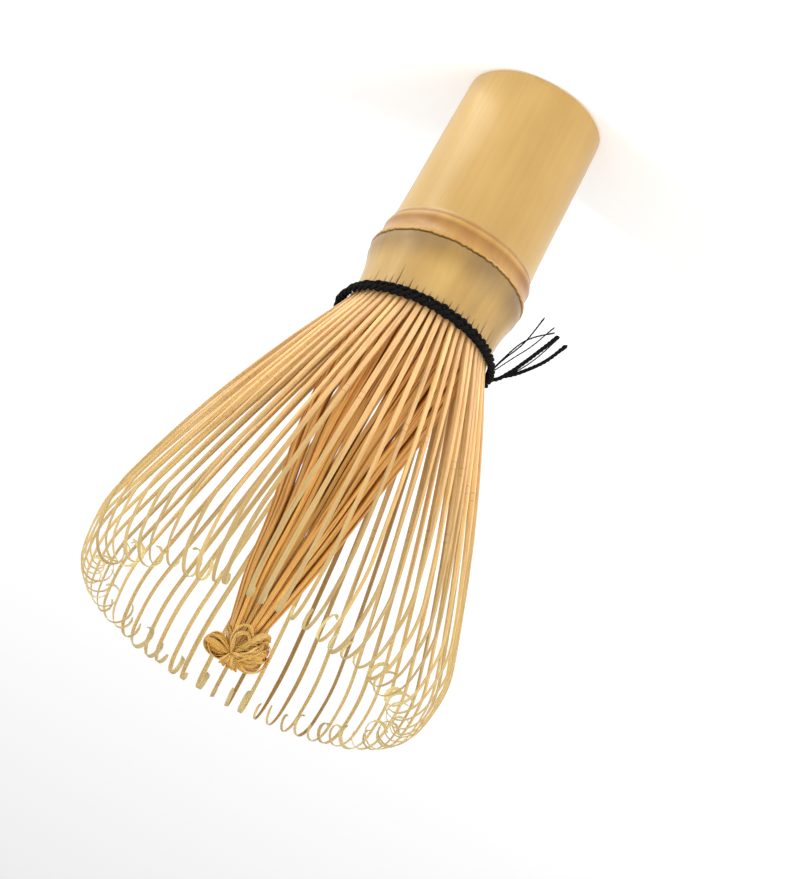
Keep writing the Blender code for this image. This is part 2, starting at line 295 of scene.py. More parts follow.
def carried(points, across, out, half_width, half_thickness, section):
    """Vertices of a section carried along paths.

    Each vertex is the path's point, plus the section's first number times half the width along across,
    plus its second number times half the thickness along out.
    """
    section = np.asarray(section)
    if section.ndim == 2:
        section = section[None, None]
    return (points[..., None, :]
            + across[..., None, :] * (half_width[..., None] * section[..., 0])[..., None]
            + out[..., None, :] * (half_thickness[..., None] * section[..., 1])[..., None])


print("a blade's section has", len(BLADE_SECTION), "points")

# %% Join the stations with faces
def strip_faces(paths, stations, sides, closed=False):
    """Quads between neighbouring stations of each path, and a cap at each end of an open path."""
    path, station, side = np.meshgrid(np.arange(paths), np.arange(stations if closed else stations - 1),
                                      np.arange(sides), indexing="ij")
    index = lambda s, k: (path * stations + s % stations) * sides + k % sides
    quads = np.stack([index(station, side), index(station, side + 1), index(station + 1, side + 1),
                      index(station + 1, side)], -1).reshape(-1, 4)
    if closed:
        return quads, np.empty((0, sides), int)
    first = np.arange(paths)[:, None] * stations * sides
    start_caps = first + np.arange(sides)[::-1]
    end_caps = first + (stations - 1) * sides + np.arange(sides)
    return quads, np.concatenate([start_caps, end_caps])


def lengths_along(points):
    """Distance from the start of each path to each of its stations."""
    steps = np.linalg.norm(np.diff(points, axis=-2), axis=-1)
    return np.concatenate([np.zeros(steps.shape[:-1] + (1,)), np.cumsum(steps, -1)], -1)


# %% Turn arrays into a piece
def add_piece(name, vertices, faces, material, body, replaced=(), uv=None, values=None, sharp=40):
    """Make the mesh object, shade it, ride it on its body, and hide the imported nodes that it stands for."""
    mesh = bpy.data.meshes.new(name)
    mesh.from_pydata(vertices.reshape(-1, 3) * MM, [], faces)
    if uv is not None:
        mesh.uv_layers.new(name="fibres").data.foreach_set("uv", uv.astype(np.float32).ravel())
    for key, numbers in (values or {}).items():
        mesh.attributes.new(key, "FLOAT", "POINT").data.foreach_set("value", numbers.astype(np.float32).ravel())
    mesh.materials.append(material)
    mesh.shade_smooth()
    mesh.set_sharp_from_angle(angle=math.radians(sharp))
    piece = bpy.data.objects.new(name, mesh)
    bpy.context.scene.collection.objects.link(piece)
    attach(piece, body)
    if replaced:
        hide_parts(*replaced)
    return piece


# %% Turn paths into a piece
# A mark this far before a strip's start is nowhere on it, so no tick shows.
NO_MARK = -9.0
# Each strip's fibre map starts this many metres after the last one's, so that no two are alike.
MAP_STEP = 0.05

def add_strips(name, points, across, out, half_width, half_thickness, section, material, body,
               replaced=(), closed=False, along=None, darker_inside=None, mark=None, sharp=40):
    """A piece made of strips, with its fibre map in metres and the values that its material reads.

    Faces point outwards where the path's direction, across and out are right-handed. Where they are
    left-handed, the section is gone round the other way.
    """
    section = np.asarray(section)
    if np.cross(points[0, 1] - points[0, 0], across[0, 0]) @ out[0, 0] < 0:
        section = section[..., ::-1, :]
    paths, stations = points.shape[:2]
    vertices = carried(points, across, out, half_width, half_thickness, section)
    sides = vertices.shape[2]
    quads, caps = strip_faces(paths, stations, sides, closed)
    faces = quads.tolist() + caps.tolist()
    distance = lengths_along(points)
    if along is None:
        along = distance / distance[:, -1:]
    shape = (paths, stations, sides)
    tint = rng.random(paths)
    inner = np.broadcast_to(section[..., 1] < 0, shape) if section.ndim == 2 else np.zeros(shape)
    darker_inside = np.zeros(paths) if darker_inside is None else darker_inside
    mark = np.full(paths, NO_MARK) if mark is None else mark
    values = {"along": np.broadcast_to(along[..., None], shape),
              "tint": np.broadcast_to(tint[:, None, None], shape),
              "inner_side": inner,
              "darker_inside": np.broadcast_to(darker_inside[:, None, None], shape) * inner,
              "from_mark": np.broadcast_to((distance - mark[:, None])[..., None], shape)}
    start = np.arange(paths)[:, None, None] * MAP_STEP
    u = (np.broadcast_to(distance[..., None], shape) * MM + start).ravel()
    side = np.tile(np.arange(sides), paths * stations)
    outline = section.reshape(-1, sides, 2)[0] * (half_width.mean() * MM, half_thickness.mean() * MM)
    steps = np.linalg.norm(np.roll(outline, -1, 0) - outline, axis=1)
    round_section = np.concatenate([[0], np.cumsum(steps)])
    corner = quads.ravel()
    side_of_corner = side[corner]
    wrapped = np.tile([0, 1, 1, 0], len(quads)) * (side_of_corner == 0) * sides
    uv = np.concatenate([np.stack([u[corner], round_section[side_of_corner + wrapped]], 1),
                         np.stack([u[caps.ravel()], round_section[side[caps.ravel()]]], 1)])
    return add_piece(name, vertices, faces, material, body, replaced, uv, values, sharp)


# %% Draw a smooth line through knots
def through(knots, x):
    """A smooth line through (position, value) knots: a cubic between each two, with the mean slope at each."""
    places, heights = np.array(knots, float).T
    slopes = np.gradient(heights, places)
    k = np.clip(np.searchsorted(places, x, side="right") - 1, 0, len(places) - 2)
    step = places[k + 1] - places[k]
    t = np.clip((x - places[k]) / step, 0, 1)
    return ((1 + 2 * t) * (1 - t) ** 2 * heights[k] + t * (1 - t) ** 2 * step * slopes[k]
            + t ** 2 * (3 - 2 * t) * heights[k + 1] + t ** 2 * (t - 1) * step * slopes[k + 1])


print("a line through 0, 1 and 4 is at", float(through(((0, 0), (1, 1), (2, 4)), 1.5)), "between the last two")

# %% [markdown]
# ## The handle
# The handle is the culm itself, so its surface is one function: a radius for each height and each angle
# round the axis. It could be turned from a profile, but a culm is never quite round, the scar that the
# leaf sheath left round the node wanders, and sixty-four fine splits run up from the thread. A grid of
# angle and height takes all of that, with its columns crowded at each split and its rows at the scar.

# %% Work out the culm
SKIN_TOP = 46.5
SCAR_HEIGHT = 35.8
BORE_R, HOLLOW_R = 7.2, 9.2
# The outside's (height, radius) knots: the butt, the ridge with its crease, and the waist of the neck.
SIDE = ((0.0, 11.98), (4.0, 12.05), (14.0, 12.2), (25.0, 12.35), (29.0, 12.48), (30.4, 12.62), (31.0, 12.86),
        (31.7, 13.12), (32.4, 13.1), (33.4, 13.0), (34.4, 13.22), (35.3, 13.62), (36.2, 13.5), (37.2, 13.42),
        (38.4, 13.1), (40.0, 12.72), (42.0, 12.42), (44.0, 12.3), (46.5, 12.4))
# The inside's (radius, height) rings: from the node's diaphragm down the bore to the butt, and from the neck's
# rim down its hollow to the diaphragm's other face.
BORE_RINGS = ((2.0, 31.2), (BORE_R - 2.0, 30.9), (BORE_R - 0.4, 29.6), (BORE_R, 24.0), (BORE_R, 12.0),
              (BORE_R, 0.3), (BORE_R + 0.3, 0.0), (11.2, 0.0))
NECK_RINGS = ((HOLLOW_R, SKIN_TOP - 0.1), (HOLLOW_R, 41.0), (HOLLOW_R - 0.6, 36.0), (6.0, 35.0), (2.0, 34.8))

def culm_columns():
    """Angles round the culm: eight to a tine, crowded at the split between two tines."""
    offsets = np.array([0.0, 0.05, 0.12, 0.3, 0.5, 0.7, 0.88, 0.95])
    return ((np.arange(TINES)[:, None] + offsets) * 2 * np.pi / TINES).ravel()


def culm_rows():
    """Heights up the culm, closer at the node's crease and scar and along the splits."""
    return np.unique(np.concatenate([np.linspace(0.45, 30, 26), np.linspace(30, 34.6, 24),
                                     np.linspace(34.6, 37, 34), np.linspace(37, 43, 14),
                                     np.linspace(43, SKIN_TOP, 26)]))


print("culm grid:", len(culm_columns()), "columns by", len(culm_rows()), "rows")

# %% Shape the outside of the culm
def wander(angle, amounts, phases):
    """A closed wandering line: sines with whole numbers of waves round the culm, added together."""
    waves = np.arange(1, len(amounts) + 1)
    return (np.array(amounts) * np.sin(angle[..., None] * waves + np.array(phases))).sum(-1)


def bell(x, middle, width):
    """One at the middle, falling to about a third at the width and to nothing further out."""
    return np.exp(-((x - middle) / width) ** 2)


def culm_outside(a, z):
    """The radius at each angle and height, and how strongly each of the skin's marks shows there.

    The radius is the side's smooth line, whose heights move with the wandering scar, plus a few waves round the
    culm. A bell is taken off it for the scar's groove, for the crease and at each split, and added for the lip.
    The butt's edge is rounded as a quarter of an ellipse.
    """
    angle = a[0]
    ragged = wander(angle, np.concatenate([np.zeros(9), np.full(90, 0.007)]), rng.random(99) * 7)
    scar = SCAR_HEIGHT + wander(angle, (0.16, 0.1, 0.05), (0.4, 2.0, 1.0)) + ragged
    above_scar = z - scar
    shift = (scar - SCAR_HEIGHT) * bell(above_scar, 0, 2.5)
    r = through(SIDE, z - shift)
    r = r + wander(a, (0.0, 0.10, 0.05), (0.0, 0.7, 2.1))
    r = r + 0.03 * wander(a, (0, 0, 0, 0, 1, 0, 1), (0, 0, 0, 0, 1, 0, 3))
    patchy = np.clip(0.7 + 0.4 * np.cos(a - 5.1) + 0.3 * np.sin(7 * a) * np.sin(3 * a + 1), 0, 1)
    groove = bell(above_scar, 0.14, 0.11)
    lip = bell(above_scar, -0.14, 0.12)
    r = r - 0.34 * groove + 0.07 * lip
    crease_height = 31.3 + wander(a, (0.2, 0.15), (2.2, 0.5))
    r = r - 0.16 * bell(z, crease_height, 0.3)
    split = np.minimum(a * TINES / (2 * np.pi) % 1, 1 - a * TINES / (2 * np.pi) % 1)
    number = np.round(a * TINES / (2 * np.pi)).astype(int) % TINES
    split_start = SKIN_TOP - 0.9 - rng.gamma(2.5, 0.6, TINES).clip(0.2, 3.6)
    opened = np.clip((z - split_start[number]) / (SKIN_TOP - split_start[number]), 0, 1)
    cut = bell(split, 0, 0.03 + 0.07 * opened) * (opened > 0) * (0.6 + 0.4 * opened)
    r = r - 0.4 * cut * opened
    rounding = np.clip((0.9 - z) / 0.9, 0, 1)
    r = r - 0.42 * (1 - np.sqrt(1 - rounding ** 2))
    # The scar's mark is painted shade in its groove, stronger on some sides than others.
    marks = {"cut": cut, "lip": 0.8 * lip * (1 - patchy), "scar": groove * patchy,
             "blush": bell(a, 3.28, 0.13) * bell(above_scar, -0.8, 0.7), "above_scar": above_scar > 0,
             "end_grain": np.zeros_like(r)}
    return r, marks


# %% Close the culm round its wall
def make_culm():
    """The culm's skin, wall ends, bore, diaphragm and neck hollow, as one closed grid.

    The rows are the bore's rings, the outside and the neck's rings. A fan of triangles round a pole closes
    each end of the grid. The insides count as cut wood, and the neck's hollow lies above the scar.
    """
    angle = culm_columns()
    a, z = np.meshgrid(angle, culm_rows())
    r, marks = culm_outside(a, z)
    low_r, low_z = [ring[:, None] + 0 * angle for ring in np.array(BORE_RINGS).T]
    high_r, high_z = [ring[:, None] + 0 * angle for ring in np.array(NECK_RINGS).T]
    all_r = np.concatenate([low_r, r, high_r])
    all_z = np.concatenate([low_z, z, high_z])
    grid = np.stack([all_r * np.cos(angle), all_r * np.sin(angle), all_z], -1)
    poles = np.array([(0.0, 0.0, all_z[0, 0]), (0.0, 0.0, all_z[-1, 0])])
    vertices = np.concatenate([grid.reshape(-1, 3), poles])
    row_count, column_count = all_r.shape
    i, j = np.meshgrid(np.arange(row_count - 1), np.arange(column_count), indexing="ij")
    following = (j + 1) % column_count
    quads = np.stack([i * column_count + j, i * column_count + following, (i + 1) * column_count + following,
                      (i + 1) * column_count + j], -1).reshape(-1, 4)
    low_pole, last_row, column = row_count * column_count, (row_count - 1) * column_count, np.arange(column_count)
    low_fan = np.stack([(column + 1) % column_count, column, 0 * column + low_pole], -1)
    high_fan = np.stack([last_row + column, last_row + (column + 1) % column_count, 0 * column + low_pole + 1], -1)
    values = {}
    for key, mark in marks.items():
        low = np.full_like(low_r, key == "end_grain")
        high = np.full_like(high_r, key in ("end_grain", "above_scar"))
        values[key] = np.concatenate([low.ravel(), mark.ravel(), high.ravel(), low[0, :1], high[0, :1]])
    return add_piece("culm_skin", vertices, quads.tolist() + low_fan.tolist() + high_fan.tolist(), skin, "handle",
                     ["culm"], values=values, sharp=50)


culm = make_culm()
print("culm faces:", len(culm.data.polygons))

# %% [markdown]
# ## The outer tines
# Each outer tine is a blade a little under a millimetre wide, shaved from the inside until its tip is as thin as
# paper, and curled over a hot iron. Seen from the side its middle line is a chain of arcs: it leaves the
# thread leaning outwards, straightens as it rises, turns in at the shoulder and rolls up at the tip. The
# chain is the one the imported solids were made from, so the blades lie where the solids do. No two blades
# are alike, so each has its own small errors of lean and spacing and its own curl.

# %% The middle line of a blade
ROOT_R, ROOT_Z, ROOT_LEAN = 11.9, 46.2, 12.0
# Each arc's length in millimetres and its turn in degrees, outwards if it is positive.
ARCS = ((5.0, 11.0), (23.0, -3.0), (24.0, -4.0), (6.0, -20.0), (4.0, -6.0), (4.0, -39.0))
CURL_START = sum(length for length, _ in ARCS)
BLADE_STATIONS = 72

def blade_lines(curl_turn, curl_radius, lean_error):
    """Radius, height, lean and distance at each station of each blade.

    The lean from vertical changes evenly along each arc. Radius is the running sum of its sine times the
    step, and height that of its cosine. The curl is one more arc, whose radius shrinks towards its end.
    """
    arc_ends = np.concatenate([[0], np.cumsum([length for length, _ in ARCS])])
    leans = ROOT_LEAN + np.concatenate([[0], np.cumsum([turn for _, turn in ARCS])])
    curl_length = np.radians(curl_turn) * curl_radius
    share = np.linspace(0, 1, BLADE_STATIONS)
    share = share ** 0.8
    s = share * (CURL_START + curl_length)[:, None]
    lean = np.interp(s, arc_ends, leans)
    in_curl = np.clip((s - CURL_START) / curl_length[:, None], 0, 1)
    lean = lean - curl_turn[:, None] * (0.85 * in_curl + 0.15 * in_curl ** 2)
    lean = lean + lean_error[:, None] * (1 - 2 * np.clip(s / CURL_START, 0, 1))
    step = np.diff(s, axis=1)
    middle = np.radians((lean[:, 1:] + lean[:, :-1]) / 2)
    zero = np.zeros((len(s), 1))
    r = ROOT_R + np.concatenate([zero, np.cumsum(np.sin(middle) * step, 1)], 1)
    z = ROOT_Z + np.concatenate([zero, np.cumsum(np.cos(middle) * step, 1)], 1)
    return r, z, np.radians(lean), s


print("a blade's middle line is", CURL_START, "mm long before its curl")

# %% Make the sixteen sets of blades
# (distance, size) knots along a blade: it narrows and thins as it is shaved towards the tip.
BLADE_WIDTH = ((0, 0.88), (6, 0.87), (18, 0.79), (34, 0.68), (54, 0.6), (62, 0.58))
BLADE_THICKNESS = ((0, 0.8), (8, 0.78), (28, 0.62), (50, 0.36), (60, 0.22), (66, 0.15), (80, 0.12))
# The two blades at a set's edges wander less than its middle two, so that sets can flex without meeting.
SPREAD_IN_SET = (0.55, 1.0, 1.0, 0.55)
# The number of the first of six blades at the rear whose inner sides are darker, and by how much each is.
FIRST_DARK_INSIDE, DARK_INSIDE_AMOUNTS = 16, (0.7, 0, 0.8, 0.6, 0, 0.7)

def make_outer_sets():
    """Sixteen sets of four blades, each blade with its own small errors.

    A blade's point is its middle line turned to its own angle, moved sideways by a lean that grows as the
    square of the distance, a bow that is a half sine, and a drift in the curl. Its section twists as the cube
    of the distance. Hooks at the front and rear are shorter, wider and straighter, by a bell of the angle.
    """
    angle = (np.arange(TINES) + 0.5) * 2 * np.pi / TINES
    front = bell(np.degrees(angle), 277, 14) + bell(np.degrees(angle), 77, 16)
    curl_turn = rng.uniform(130, 300, TINES) * (1 - 0.25 * front)
    curl_radius = rng.uniform(1.25, 2.3, TINES) * (1 - 0.3 * front)
    r, z, lean, s = blade_lines(curl_turn, curl_radius, rng.normal(0, 1.0, TINES))
    share = np.clip(s / CURL_START, 0, 1.3)
    in_curl = np.clip((s - CURL_START + 3) / (s[:, -1:] - CURL_START + 3), 0, 1)
    pair = np.repeat(rng.normal(0, 0.14, TINES // 2), 2)
    sideways = ((rng.normal(0, 0.3, TINES) + pair)[:, None] * share ** 2
                + (rng.normal(0, 0.12, TINES) + pair)[:, None] * np.sin(np.pi * share)
                + (rng.normal(0, 0.55, TINES) * (1 - front))[:, None] * in_curl ** 2)
    sideways = sideways * np.tile(SPREAD_IN_SET, SETS)[:, None]
    twist = np.radians(rng.normal(0, 8, TINES))[:, None] * share ** 3 + np.radians(
        rng.normal(0, 22, TINES) * (1 - front))[:, None] * in_curl
    radial = np.stack([np.cos(angle), np.sin(angle), 0 * angle], -1)[:, None]
    tangent = np.stack([-np.sin(angle), np.cos(angle), 0 * angle], -1)[:, None]
    up = np.array([0.0, 0.0, 1.0])
    points = radial * r[..., None] + up * z[..., None] + tangent * sideways[..., None]
    normal = radial * np.cos(lean)[..., None] - up * np.sin(lean)[..., None]
    across = tangent * np.cos(twist)[..., None] + normal * np.sin(twist)[..., None]
    out = normal * np.cos(twist)[..., None] - tangent * np.sin(twist)[..., None]
    own_width = rng.normal(1, 0.07, TINES)[:, None]
    tip_width = (rng.uniform(0.36, 0.72, TINES) + 0.32 * front)[:, None]
    width = through(BLADE_WIDTH, s)
    width = width * own_width * (1 + 0.25 * front[:, None] * share)
    widening = np.clip((s - 57) / 9, 0, 1)
    width = width + (tip_width - width) * widening ** 2 * (3 - 2 * widening)
    end = s[:, -1:] - s
    width = width * np.sqrt(np.clip(end / 0.4, 0.3, 1))
    thickness = through(BLADE_THICKNESS, s)
    along = np.clip(s / 80, 0, 1)
    darker_inside = np.zeros(TINES)
    darker_inside[FIRST_DARK_INSIDE:FIRST_DARK_INSIDE + len(DARK_INSIDE_AMOUNTS)] = DARK_INSIDE_AMOUNTS
    # Four blades in ten have a mark a little under halfway up.
    mark = np.where(rng.random(TINES) < 0.4, 27.6 + np.sin(angle) + rng.normal(0, 0.5, TINES), NO_MARK)
    for number in range(SETS):
        own = slice(number * TINES_PER_SET, (number + 1) * TINES_PER_SET)
        add_strips(f"outer_blades_{number + 1:02d}", points[own], across[own], out[own], width[own] / 2,
                   thickness[own] / 2, BLADE_SECTION, blade_wood, f"outer_set_{number + 1:02d}",
                   [f"outer_tines_{number + 1:02d}"], along=along[own], darker_inside=darker_inside[own], mark=mark[own])
    return r, z


ring_r, ring_z = make_outer_sets()
print("ring of tines: widest", round(float(ring_r.max()), 1), "highest", round(float(ring_z.max()), 1))

# %% [markdown]
# ## The inner bundle
# The inner half of each sector is split into the same number of strips, left thicker, and gathered in the
# middle. They start on one circle and have to share a smaller and smaller one, so they slide into layers.
# A simulation could press them together, but a bundle that narrows and turns as it rises, with every strip at
# its own depth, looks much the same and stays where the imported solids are.

# %% Make the sixteen sets of strips
BUNDLE_R = ((46.4, 9.95), (55.0, 10.0), (62.0, 9.6), (67.0, 9.1), (72.0, 8.4), (78.0, 7.4), (84.0, 6.4),
            (90.0, 5.5), (96.0, 4.6), (101.0, 3.5), (105.0, 2.6), (108.5, 1.7))
# The bundle's middle leans a little to one side as it rises: (height, shift along X) knots.
BUNDLE_DRIFT = ((46.4, 0.0), (60.0, 0.45), (72.0, 0.95), (87.0, 0.9), (96.0, 1.3), (108.5, 1.5))
STRIP_STATIONS = 40

def make_inner_sets():
    """Sixteen sets of four strips, which slide behind one another as they rise.

    A strip's radius is the bundle's at its height, less its own layer's depth. Its angle turns by about nine
    degrees from root to tip, with its own error and its own wave, and the whole bundle drifts along X.
    """
    angle = (np.arange(TINES) + 0.5) * 2 * np.pi / TINES
    z = np.linspace(BUNDLE_R[0][0], BUNDLE_R[-1][0], STRIP_STATIONS) + np.zeros((TINES, 1))
    share = (z - z[:, :1]) / (z[:, -1:] - z[:, :1])
    full_r = through(BUNDLE_R, z)
    layer = (np.tile([0.0, 0.7, 0.3, 1.0], SETS)[:, None] * share ** 0.6
             + rng.uniform(-0.1, 0.25, (TINES, 1)) * np.clip(share * 6, 0, 1))
    r = np.maximum(full_r - np.minimum(layer, 0.75 * full_r), 0.3)
    turned = angle[:, None] + np.radians(rng.normal(0, 3.0, (TINES, 1)) + 9) * share + np.radians(
        rng.normal(0, 1.6, (TINES, 1))) * np.sin(2 * np.pi * share) + np.radians(
        rng.normal(0, 0.6, (TINES, 1))) * np.clip(share * 6, 0, 1)
    drift = through(BUNDLE_DRIFT, z)
    radial = np.stack([np.cos(turned), np.sin(turned), 0 * turned], -1)
    tangent = np.stack([-np.sin(turned), np.cos(turned), 0 * turned], -1)
    points = radial * r[..., None]
    points[..., 0] += drift
    points[..., 2] += z
    direction = unit(np.gradient(points, axis=1))
    out = unit(radial - direction * (radial * direction).sum(-1, keepdims=True))
    across = np.cross(direction, out)
    lean_over = np.radians(rng.normal(0, 10, (TINES, 1)))[..., None] * share[..., None]
    across, out = (across * np.cos(lean_over) + out * np.sin(lean_over),
                   out * np.cos(lean_over) - across * np.sin(lean_over))
    width = (0.86 - 0.16 * share) * rng.normal(1, 0.1, (TINES, 1))
    thickness = 0.55 - 0.25 * share
    for number in range(SETS):
        own = slice(number * TINES_PER_SET, (number + 1) * TINES_PER_SET)
        add_strips(f"inner_strips_{number + 1:02d}", points[own], across[own], out[own], width[own] / 2,
                   thickness[own] / 2, BLADE_SECTION, core_wood, "core",
                   [f"inner_tines_{number + 1:02d}"])


make_inner_sets()
print("bundle made")

# %% [markdown]
# ## The bow of tangled tips
# The curled tips of the inner strips catch in each other. They make a soft bow: two pouches of thin ribbon
# loops, a pinch between them, a stray loop over the top and a short fringe. A pouch is drawn as loops that
# all start and end at the pinch and lie in planes turned about the pouch's own axis, like the meridians of
# an onion, so its stripes run together at the pinch from any side.

# %% Make the two pouches
# Where the tips are pinched together, in millimetres, and the way that the bow's face looks.
PINCH = np.array([1.8, -0.9, 109.6])
BOW_FACE = unit(np.array([0.0, -0.9, 0.4]))

def make_pouch(name, reach, half_height, loops, widest, mess, replaced):
    """Teardrop loops: out along the reach by half of one minus a cosine, and sideways by a sine.

    The loops' planes are turned evenly about the reach, and each loop has its own size, start and twist.
    """
    reach = np.array(reach)
    axis = unit(reach)
    upright = unit(np.cross(axis, [0.0, 1.0, 0.0]))
    level = np.cross(axis, upright)
    roll = np.linspace(-0.5, 0.5, loops) * np.pi + rng.normal(0, 0.1, loops)
    size = rng.uniform(0.35, 1.0, (loops, 1)) ** 0.45
    tips = reach * size + rng.normal(0, mess, (loops, 3))
    starts = PINCH + rng.normal(0, 0.2, (loops, 3))
    side = upright * np.cos(roll)[:, None] + level * np.sin(roll)[:, None]
    height = half_height * size * (0.62 + 0.38 * np.cos(roll)[:, None] ** 2) * rng.uniform(0.85, 1.08, (loops, 1))
    t = np.linspace(0.015, 0.985, 40) * 2 * np.pi
    sideways = height * np.sin(t + rng.normal(0, 0.12, (loops, 1)) * np.sin(t / 2)) * (0.5 + 0.5 * np.sin(t / 2))
    points = starts[:, None] + tips[:, None] * ((1 - np.cos(t)) / 2)[:, None] + side[:, None] * sideways[..., None]
    points = points + rng.normal(0, 0.1, (loops, 1, 3)) * np.sin(2 * t)[:, None]
    direction = unit(np.gradient(points, axis=1))
    flat = np.cross(axis, side)[:, None]
    flat = unit(flat - direction * (flat * direction).sum(-1, keepdims=True))
    out = np.cross(direction, flat)
    twist = (rng.normal(0, 0.45, (loops, 1)) * np.sin(t / 2) + rng.normal(0, 0.2, (loops, 1)))[..., None]
    across = flat * np.cos(twist) + out * np.sin(twist)
    out = out * np.cos(twist) - flat * np.sin(twist)
    width = widest * rng.uniform(0.4, 1.0, (loops, 1)) * (0.4 + 0.6 * np.sin(t / 2))
    return add_strips(name, points, across, out, width / 2, np.full(points.shape[:2], 0.05), BLADE_SECTION,
                      bow_wood, "core", replaced)


make_pouch("bow_left", (4.4, 0.0, -0.4), 1.95, 30, 0.9, 0.14, ["bow_loop_left"])
make_pouch("bow_right", (-5.0, 0.0, -1.9), 3.3, 44, 0.8, 0.34, ["bow_loop_right"])
print("pouches made")

# %% Make the loose loops, the folds and the fringe
def make_ribbons(name, routes, copies, spread, width, thickness, replaced=(), stations=24):
    """Ribbons along smooth lines through each route's points, several to a route, a little apart.

    Each ribbon lies flat to the bow's face, which looks forwards and a little up, give or take a random tilt.
    """
    routes = np.repeat(np.array(routes), copies, axis=0)
    count, knots = routes.shape[:2]
    routes = routes + rng.normal(0, spread, (count, 1, 3)) + rng.normal(0, spread * 0.4, (count, knots, 3))
    t = np.linspace(0, knots - 1, stations)
    points = np.stack([np.stack([through(np.stack([np.arange(knots), route[:, k]], 1), t) for k in range(3)], -1)
                       for route in routes])
    direction = unit(np.gradient(points, axis=1))
    facing = BOW_FACE + rng.normal(0, 0.45, (count, 1, 3))
    across = unit(np.cross(direction, facing))
    out = np.cross(across, direction)
    half = width / 2 * rng.uniform(0.6, 1.1, (count, 1)) * np.clip(4 - 4 * np.abs(2 * t / (knots - 1) - 1), 0.6, 1)
    return add_strips(name, points, across, out, half, np.full(half.shape, thickness / 2), BLADE_SECTION, bow_wood,
                      "core", replaced)


TOP_LOOP = ((1.8, -1.6, 109.8), (2.9, -2.7, 107.9), (2.8, -3.3, 106.4), (2.1, -3.7, 105.5), (1.0, -3.6, 105.5),
            (0.2, -3.2, 106.4))
INSIDE_LOOP = ((1.6, -1.5, 109.6), (2.2, -2.5, 108.4), (2.1, -3.1, 107.2), (1.3, -3.4, 106.5), (0.4, -3.2, 106.7),
               (-0.3, -2.8, 107.7))
MIDDLE_FOLD = ((1.3, -1.8, 109.4), (0.5, -2.3, 108.2), (-0.2, -2.5, 106.9), (-0.9, -2.4, 105.9),
               (-1.7, -1.9, 105.6), (-2.3, -1.0, 105.9))
RIGHT_FOLD = ((0.4, -1.9, 109.7), (-0.8, -2.7, 109.0), (-1.6, -2.8, 107.7), (-2.1, -2.5, 106.6),
              (-2.8, -1.7, 106.0), (-3.2, -0.6, 106.3))
LOWER_ARC = ((0.9, -1.5, 110.0), (-0.3, -2.0, 111.0), (-1.8, -2.0, 111.5), (-3.0, -1.7, 110.8),
             (-3.7, -1.2, 109.2), (-3.7, -0.8, 107.6))
CURL_END = ((2.2, -1.3, 108.9), (3.0, -1.5, 107.9), (3.7, -1.6, 107.0), (4.1, -1.5, 106.5), (3.9, -1.3, 106.2),
            (3.6, -1.2, 106.6))
make_ribbons("bow_loops", (TOP_LOOP, INSIDE_LOOP, CURL_END, LOWER_ARC), 4, 0.16, 0.26, 0.12)
make_ribbons("bow_folds", (MIDDLE_FOLD, RIGHT_FOLD), 5, 0.3, 0.8, 0.1)
ends = np.linspace(-1, 1, 9)
fringe = [((1.5 + 0.3 * e, -0.8 + d, 109.6), (1.4 + 0.9 * e, -1.1 + 1.2 * d, 110.7),
           (1.3 + 1.5 * e, -1.2 + 1.5 * d, 111.6)) for e in ends for d in (-0.5, 0.6)]
make_ribbons("bow_fringe_ends", fringe, 2, 0.12, 0.5, 0.16, ["bow_fringe"], stations=8)
print("loose loops, folds and fringe made")

# %% [markdown]
# ## The thread
# One black thread is woven round the tines in two rows. In each row two runs of it twist round each other
# by half a turn at every tine, so each tine shows one round bump in each row. The thread itself is three
# plies laid up together. Three separate plies would be too many faces for what shows, so a three-lobed
# section that turns along the path stands for them.

# %% Make the two rows
# Each row's radius and height in millimetres, and where round its line the first run starts.
ROWS = {"thread_row_neck": (13.34, 47.1, 0.0), "thread_row_tines": (13.78, 48.1, np.pi / 2)}
STRAND_HALF = 0.33
TURNS = TINES // 2
ROW_STATIONS = TINES * 10

def plied(turn_along, sides=12, lobe=0.12):
    """A round section with three lobes, turned by its own angle at each station."""
    a = 2 * np.pi * np.arange(sides) / sides
    swell = 1 + lobe * np.cos(3 * (a - turn_along[..., None]))
    return np.stack([np.cos(a) * swell, np.sin(a) * swell], -1)


def make_row(name, ring, height, phase):
    """Two runs round the ring: each circles the ring's line by a turn for every two tines."""
    a = 2 * np.pi * np.arange(ROW_STATIONS) / ROW_STATIONS
    start = np.array([0.0, np.pi])[:, None] + phase
    wind = TURNS * a + start
    r = ring + 0.27 * np.cos(wind) + 0.05 * np.sin(5 * a + start)
    z = height + 0.3 * np.sin(wind) + 0.05 * np.sin(3 * a + start) + 0.05 * np.sin(23 * a + 2 * start)
    points = np.stack([r * np.cos(a), r * np.sin(a), z], -1)
    direction = unit(np.roll(points, -1, 1) - np.roll(points, 1, 1))
    radial = np.stack([np.cos(a), np.sin(a), 0 * a], -1) + 0 * points
    out = unit(radial - direction * (radial * direction).sum(-1, keepdims=True))
    across = np.cross(direction, out)
    half = STRAND_HALF * (1 + 0.05 * np.sin(41 * a + 3 * start))
    lay = 96 * a + np.zeros((2, 1))
    return add_strips(name + "_weave", points, across, out, half, half, plied(lay), black_thread, "handle",
                      [name], closed=True, sharp=80)


for row_name, (row_ring, row_height, row_phase) in ROWS.items():
    make_row(row_name, row_ring, row_height, row_phase)
print("rows made:", len(ROWS))

